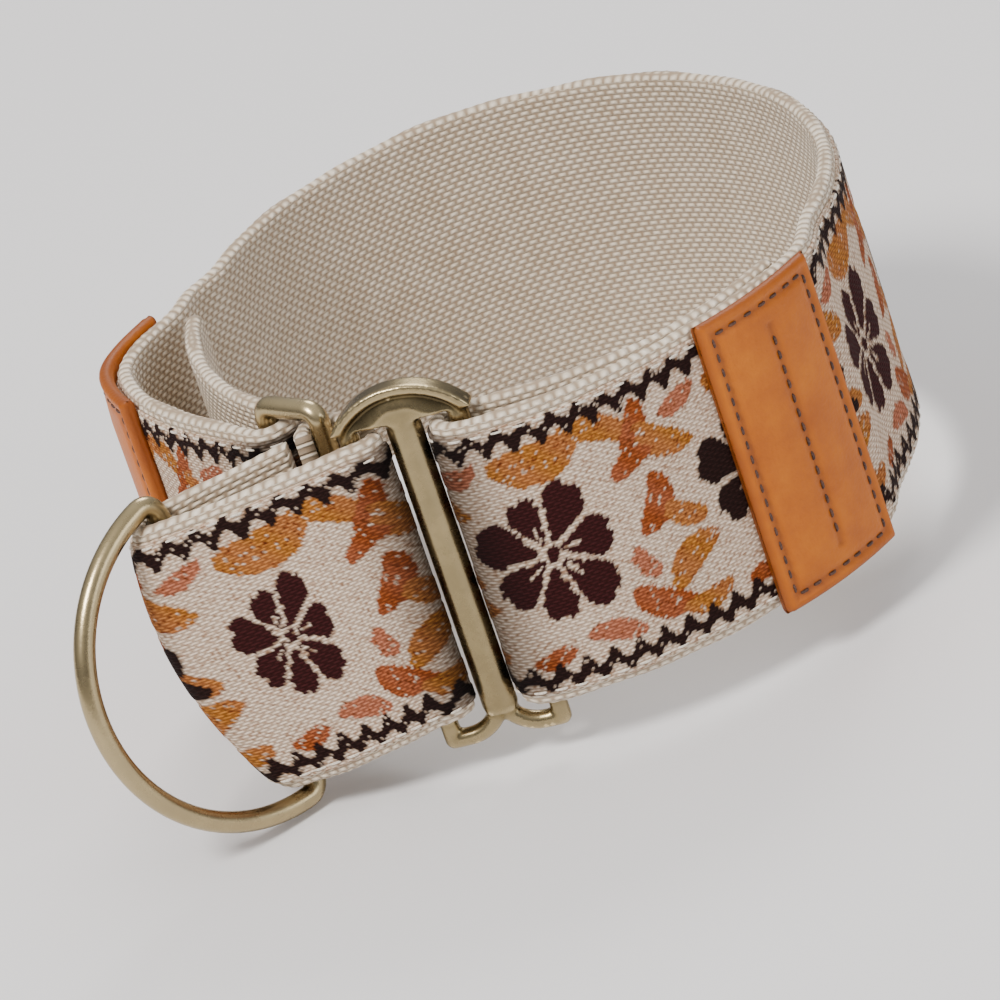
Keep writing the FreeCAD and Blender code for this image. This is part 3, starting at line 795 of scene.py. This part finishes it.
def control_loop():
    """One strap: from the connector's bar round the D-ring's bar, and back towards the keeper ring."""
    wrap = fold(LOOP_BAR_AT, LOOP_OUT, -LOOP_FLAT, TURN_END, 0, FOLD_SLACK)
    turn = fold(D_BAR_AT, D_OUT, LOOP_ALONG)
    outer_start, outer_end = wrap[-1], turn[0]
    bow = 0.7 * MM
    shares = np.linspace(0, 1, 24)[1:-1]
    straight = outer_end - outer_start
    leg = [outer_start + straight * t + LOOP_OUT * bow * math.sin(math.pi * t) for t in shares]
    leg_across = [unit(UP * (1 - t) + LOOP_ACROSS * t) for t in shares]
    ring_side = unit(KEEPER_LEFT_AT - KEEPER_RIGHT_AT)
    inner_end = fold(KEEPER_RIGHT_AT, outward(KEEPER_RIGHT_BAR), ring_side, 180, KEEPER_WRAP_END)[-1]
    back_end = inner_end + unit(turn[-1] - inner_end) * RETURN_GAP
    back = [turn[-1] + (back_end - turn[-1]) * t for t in np.linspace(0, 1, 24)[1:]]
    path = wrap + leg + turn + back
    back_across = [unit(LOOP_ACROSS * (1 - t) + UP * t) for t in np.linspace(0, 1, 24)[1:]]
    across = [UP] * len(wrap) + leg_across + [LOOP_ACROSS] * len(turn) + back_across
    sign = 1 if np.dot(strap_frame(path, across, FINE)[2][len(wrap) * 2 + 20], LOOP_OUT) > 0 else -1
    stations = strap_frame(path, across, 0.5 * MM)
    webbing = strap("loop_webbing", stations, -HALF_WEBBING, HALF_WEBBING, STRAP_WIDTH, COTTON,
                    sign, 44, 1.0, 0.12, 0.10)
    face = strap_frame(path, across, FINE)
    # The last list puts painted shade on the ribbon beside its fold round the connector's bar.
    face_ribbon = ribbon("loop_ribbon", face, LOOP_START, LOOP_BLOOM, -1, sign, [(-0.7, 5.2)])
    stitches = edge_stitches("loop_ribbon_stitches", face, sign)
    for piece in (webbing, face_ribbon, stitches):
        bulge_fold(piece)
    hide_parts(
        "loop_turn_at_connector", "loop_outer_webbing", "loop_return_webbing", "loop_fold_webbing"
    )
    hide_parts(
        "loop_ribbon_at_connector", "loop_outer_ribbon", "loop_return_ribbon", "loop_fold_ribbon"
    )
    for piece in (webbing, face_ribbon, stitches):
        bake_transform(piece)


def keeper_stretch():
    """The loop's inner stretch, from the connector under the keeper ring's right bar and up through it."""
    wrap_end = fold(LOOP_BAR_AT, LOOP_OUT, -LOOP_FLAT, 0, WRAP_END)[-1]
    side = unit(KEEPER_LEFT_AT - KEEPER_RIGHT_AT)
    turn = fold(KEEPER_RIGHT_AT, outward(KEEPER_RIGHT_BAR), side, 180, KEEPER_WRAP_END)
    lead = turn[0] - wrap_end
    start = wrap_end + unit(lead) * 0.9 * MM
    path = [start + (turn[0] - start) * t for t in np.linspace(0, 1, 10)[:-1]] + turn
    stations = strap_frame(path, upright(path), 0.5 * MM)
    piece = strap("loop_inner_webbing", stations, -HALF_WEBBING, HALF_WEBBING, STRAP_WIDTH, COTTON,
                  1, 44, 1.0, 0.1, 0.10)
    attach(piece, "keeper")
    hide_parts("loop_turn_at_keeper")


def sink_pockets(mesh):
    """Two shallow pockets in each arched end, between its rim and the middle bar, dark with patina. The
    middle bar is rounded too, and its flanks are darkened with painted shade.
    """
    co = np.empty(len(mesh.vertices) * 3)
    mesh.vertices.foreach_get("co", co)
    co = co.reshape(-1, 3)
    back = np.cross(UP, CONNECTOR_RIGHT)
    middle = RIGHT_BAR_AT - CONNECTOR_RIGHT * CONNECTOR_SPACING
    x, y, z = (co - middle) @ CONNECTOR_RIGHT, (co - middle) @ back, np.abs(co[:, 2])
    arch_radius = (CONNECTOR_REACH**2 + CONNECTOR_RISE**2) / (2 * CONNECTOR_RISE)
    from_rim = arch_radius - np.hypot(x, z - (SLOT_HEIGHT / 2 + CONNECTOR_RISE - arch_radius))
    half = SLOT_HEIGHT / 2
    above = co[:, 2] > 0
    flare = 2.8 * MM * smooth(-np.abs(x), -6.0 * MM, -0.8 * MM)
    inside_rim = smooth(from_rim, 0.9 * MM, 1.8 * MM)
    pocket = inside_rim * smooth(z - flare, half - 1.2 * MM, half + 1.8 * MM) * above
    share = np.clip(np.abs(y) / (CONNECTOR_DEPTH / 2), 0, 1)
    co -= back * (np.sign(y) * share * pocket * 0.95 * MM)[:, None]
    on_bar = smooth(-np.abs(x), -3.2 * MM, -2.2 * MM) * smooth(-z, -half, 1.0 * MM - half)
    co += CONNECTOR_RIGHT * (x * 0.10 * on_bar)[:, None]
    rounding = np.sqrt(np.clip(1 - (x / (2.35 * MM)) ** 2, 0.05, 1)) - 1
    co += back * (y * rounding * on_bar)[:, None]
    mesh.vertices.foreach_set("co", co.ravel())
    # Painted shade: the rounded middle bar's flanks are darkened as if turned away from the light; the
    # pockets' darkening is patina.
    side = smooth(np.abs(x), 1.3 * MM, 2.2 * MM) * on_bar * 0.55
    depth = np.clip(pocket * share * 0.9 + side, 0, 1)
    layer = mesh.color_attributes.new(name="patina_and_shade", type="FLOAT_COLOR", domain="POINT")
    layer.data.foreach_set("color", np.repeat(depth[:, None], 4, axis=1).astype(np.float32).ravel())
    mesh.update()


def connector():
    """The cast slide, with its sharp CAD edges rounded as a casting's are."""
    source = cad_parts["connector_slide"]
    obj = bpy.data.objects.new("connector_casting", source.data.copy())
    bpy.context.scene.collection.objects.link(obj)
    obj.data.materials.clear()
    obj.data.materials.append(BRASS)
    remesh = obj.modifiers.new("cast", "REMESH")
    remesh.mode = "VOXEL"
    remesh.voxel_size = 0.21 * MM
    soften = obj.modifiers.new("soften", "SMOOTH")
    soften.factor = 0.6
    soften.iterations = 14
    applied = bpy.data.meshes.new_from_object(obj.evaluated_get(bpy.context.evaluated_depsgraph_get()))
    obj.modifiers.clear()
    obj.data = applied
    obj.data.polygons.foreach_set("use_smooth", [True] * len(obj.data.polygons))
    sink_pockets(obj.data)
    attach(obj, "connector")
    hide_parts("connector_slide")


def corner(centre, u, v, start, end, radius, count=8):
    turns = np.radians(np.linspace(start, end, count))
    return [centre + (u * math.cos(t) + v * math.sin(t)) * radius for t in turns]


def keeper_ring():
    middle = (KEEPER_LEFT_AT + KEEPER_RIGHT_AT) / 2
    along = unit(KEEPER_RIGHT_AT - KEEPER_LEFT_AT)
    half = np.linalg.norm(KEEPER_RIGHT_AT - KEEPER_LEFT_AT) / 2
    rise = KEEPER_SLOT_HEIGHT / 2 + WIRE
    radius = 1.6 * MM
    points = []
    for start, x, z in ((0, 1, 1), (90, -1, 1), (180, -1, -1), (270, 1, -1)):
        centre = middle + along * x * (half - radius) + UP * z * (rise - radius)
        points += corner(centre, along, UP, start, start + 90, radius)
    obj = sweep("keeper_wire_ring", points, WIRE, BRASS)
    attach(obj, "keeper")
    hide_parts("keeper_ring")


def d_ring():
    lean = math.radians(D_RING_LEAN)
    reach = LOOP_ALONG * math.cos(lean) + D_OUT * math.sin(lean)
    radius = 2.0 * MM
    swing = math.degrees(math.asin(radius / (D_RADIUS - radius)))
    points = []
    inner = D_RADIUS - radius
    for side in (1, -1):
        centre = D_BAR_AT + reach * radius + LOOP_ACROSS * side * math.sqrt(inner**2 - radius**2)
        turn = corner(centre, LOOP_ACROSS * side, reach, -90, swing, radius)
        points += turn if side > 0 else turn[::-1]
        if side > 0:
            points += corner(D_BAR_AT, LOOP_ACROSS, reach, swing, 180 - swing, D_RADIUS, 72)[1:-1]
    obj = sweep("d_ring_wire", points, WIRE, BRASS, sides=24)
    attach(obj, "d_ring")
    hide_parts("d_ring")


# Where each strap's first flower is, in millimetres, and the flower's size along and across it.
NECK_START, NECK_BLOOM = 14.4, (0.90, 1.12)
LOOP_START, LOOP_BLOOM = 18.5, (0.60, 1.0)
neck_band()
leather_label("right", RIGHT_LABEL[1], RIGHT_LABEL[0])
leather_label("left", LEFT_LABEL[0], LEFT_LABEL[1])
control_loop()
keeper_stretch()
connector()
keeper_ring()
d_ring()


# --- studio ---

ELEVATION, ROLL = 24.0, 19.0
DISTANCE, FRAME_WIDTH = 1.25, 0.128
AIM = Vector((-0.0115, -0.0052, -0.0118))


def camera():
    tilt, roll = math.radians(ELEVATION), math.radians(ROLL)
    back = Vector((0, -math.cos(tilt), math.sin(tilt)))
    right = Vector((1, 0, 0))
    up = back.cross(right)
    turned_up = up * math.cos(roll) + right * math.sin(roll)
    turned_right = turned_up.cross(back)
    data = bpy.data.cameras.new("camera")
    data.sensor_width = 36
    data.lens = 36 * DISTANCE / FRAME_WIDTH
    data.clip_start = 0.05
    obj = bpy.data.objects.new("camera", data)
    bpy.context.scene.collection.objects.link(obj)
    place = Matrix((turned_right, turned_up, back)).transposed().to_4x4()
    place.translation = AIM + back * DISTANCE
    obj.matrix_world = place
    bpy.context.scene.camera = obj


def area_light(name, place, aim, size, power, colour):
    data = bpy.data.lights.new(name, "AREA")
    data.shape = "DISK"
    data.size = size
    data.energy = power
    data.color = colour
    obj = bpy.data.objects.new(name, data)
    bpy.context.scene.collection.objects.link(obj)
    obj.location = place
    obj.rotation_euler = (Vector(aim) - Vector(place)).to_track_quat("-Z", "Y").to_euler()


def studio():
    world = bpy.data.worlds.new("studio")
    world.use_nodes = True
    nodes, links = world.node_tree.nodes, world.node_tree.links
    background = nodes["Background"]
    parts = node(nodes, "ShaderNodeSeparateXYZ")
    links.new(node(nodes, "ShaderNodeTexCoord").outputs["Generated"], parts.inputs[0])
    greys = [(0.0, (0.16, 0.15, 0.15)), (0.30, (0.42, 0.42, 0.44)), (0.85, (1.0, 0.99, 0.98))]
    links.new(colour_ramp(nodes, links, parts.outputs[2], greys), background.inputs[0])
    background.inputs[1].default_value = 0.85
    bpy.context.scene.world = world
    area_light("key", (-0.60, -0.60, 1.00), (0, 0, 0), 0.40, 18.0, (1.0, 0.97, 0.93))
    area_light("fill", (0.9, -0.8, 0.35), (0, 0, 0), 0.7, 4.0, (0.97, 0.98, 1.0))
    area_light("rim", (0.3, 0.8, 0.8), (0, 0, 0), 0.5, 5.0, (1.0, 0.99, 0.97))
    floor_mat = material("studio_floor", (0.82, 0.81, 0.82), 0.75)[0]
    floor_at = cad_box[0][2] - 0.6 * MM
    mesh = bpy.data.meshes.new("floor")
    reach = 3.0
    corners = [(x * reach, y * reach, floor_at) for x, y in ((-1, -1), (1, -1), (1, 1), (-1, 1))]
    mesh.from_pydata(corners, [], [(0, 1, 2, 3)])
    mesh.materials.append(floor_mat)
    floor = bpy.data.objects.new("floor", mesh)
    bpy.context.scene.collection.objects.link(floor)


camera()
studio()
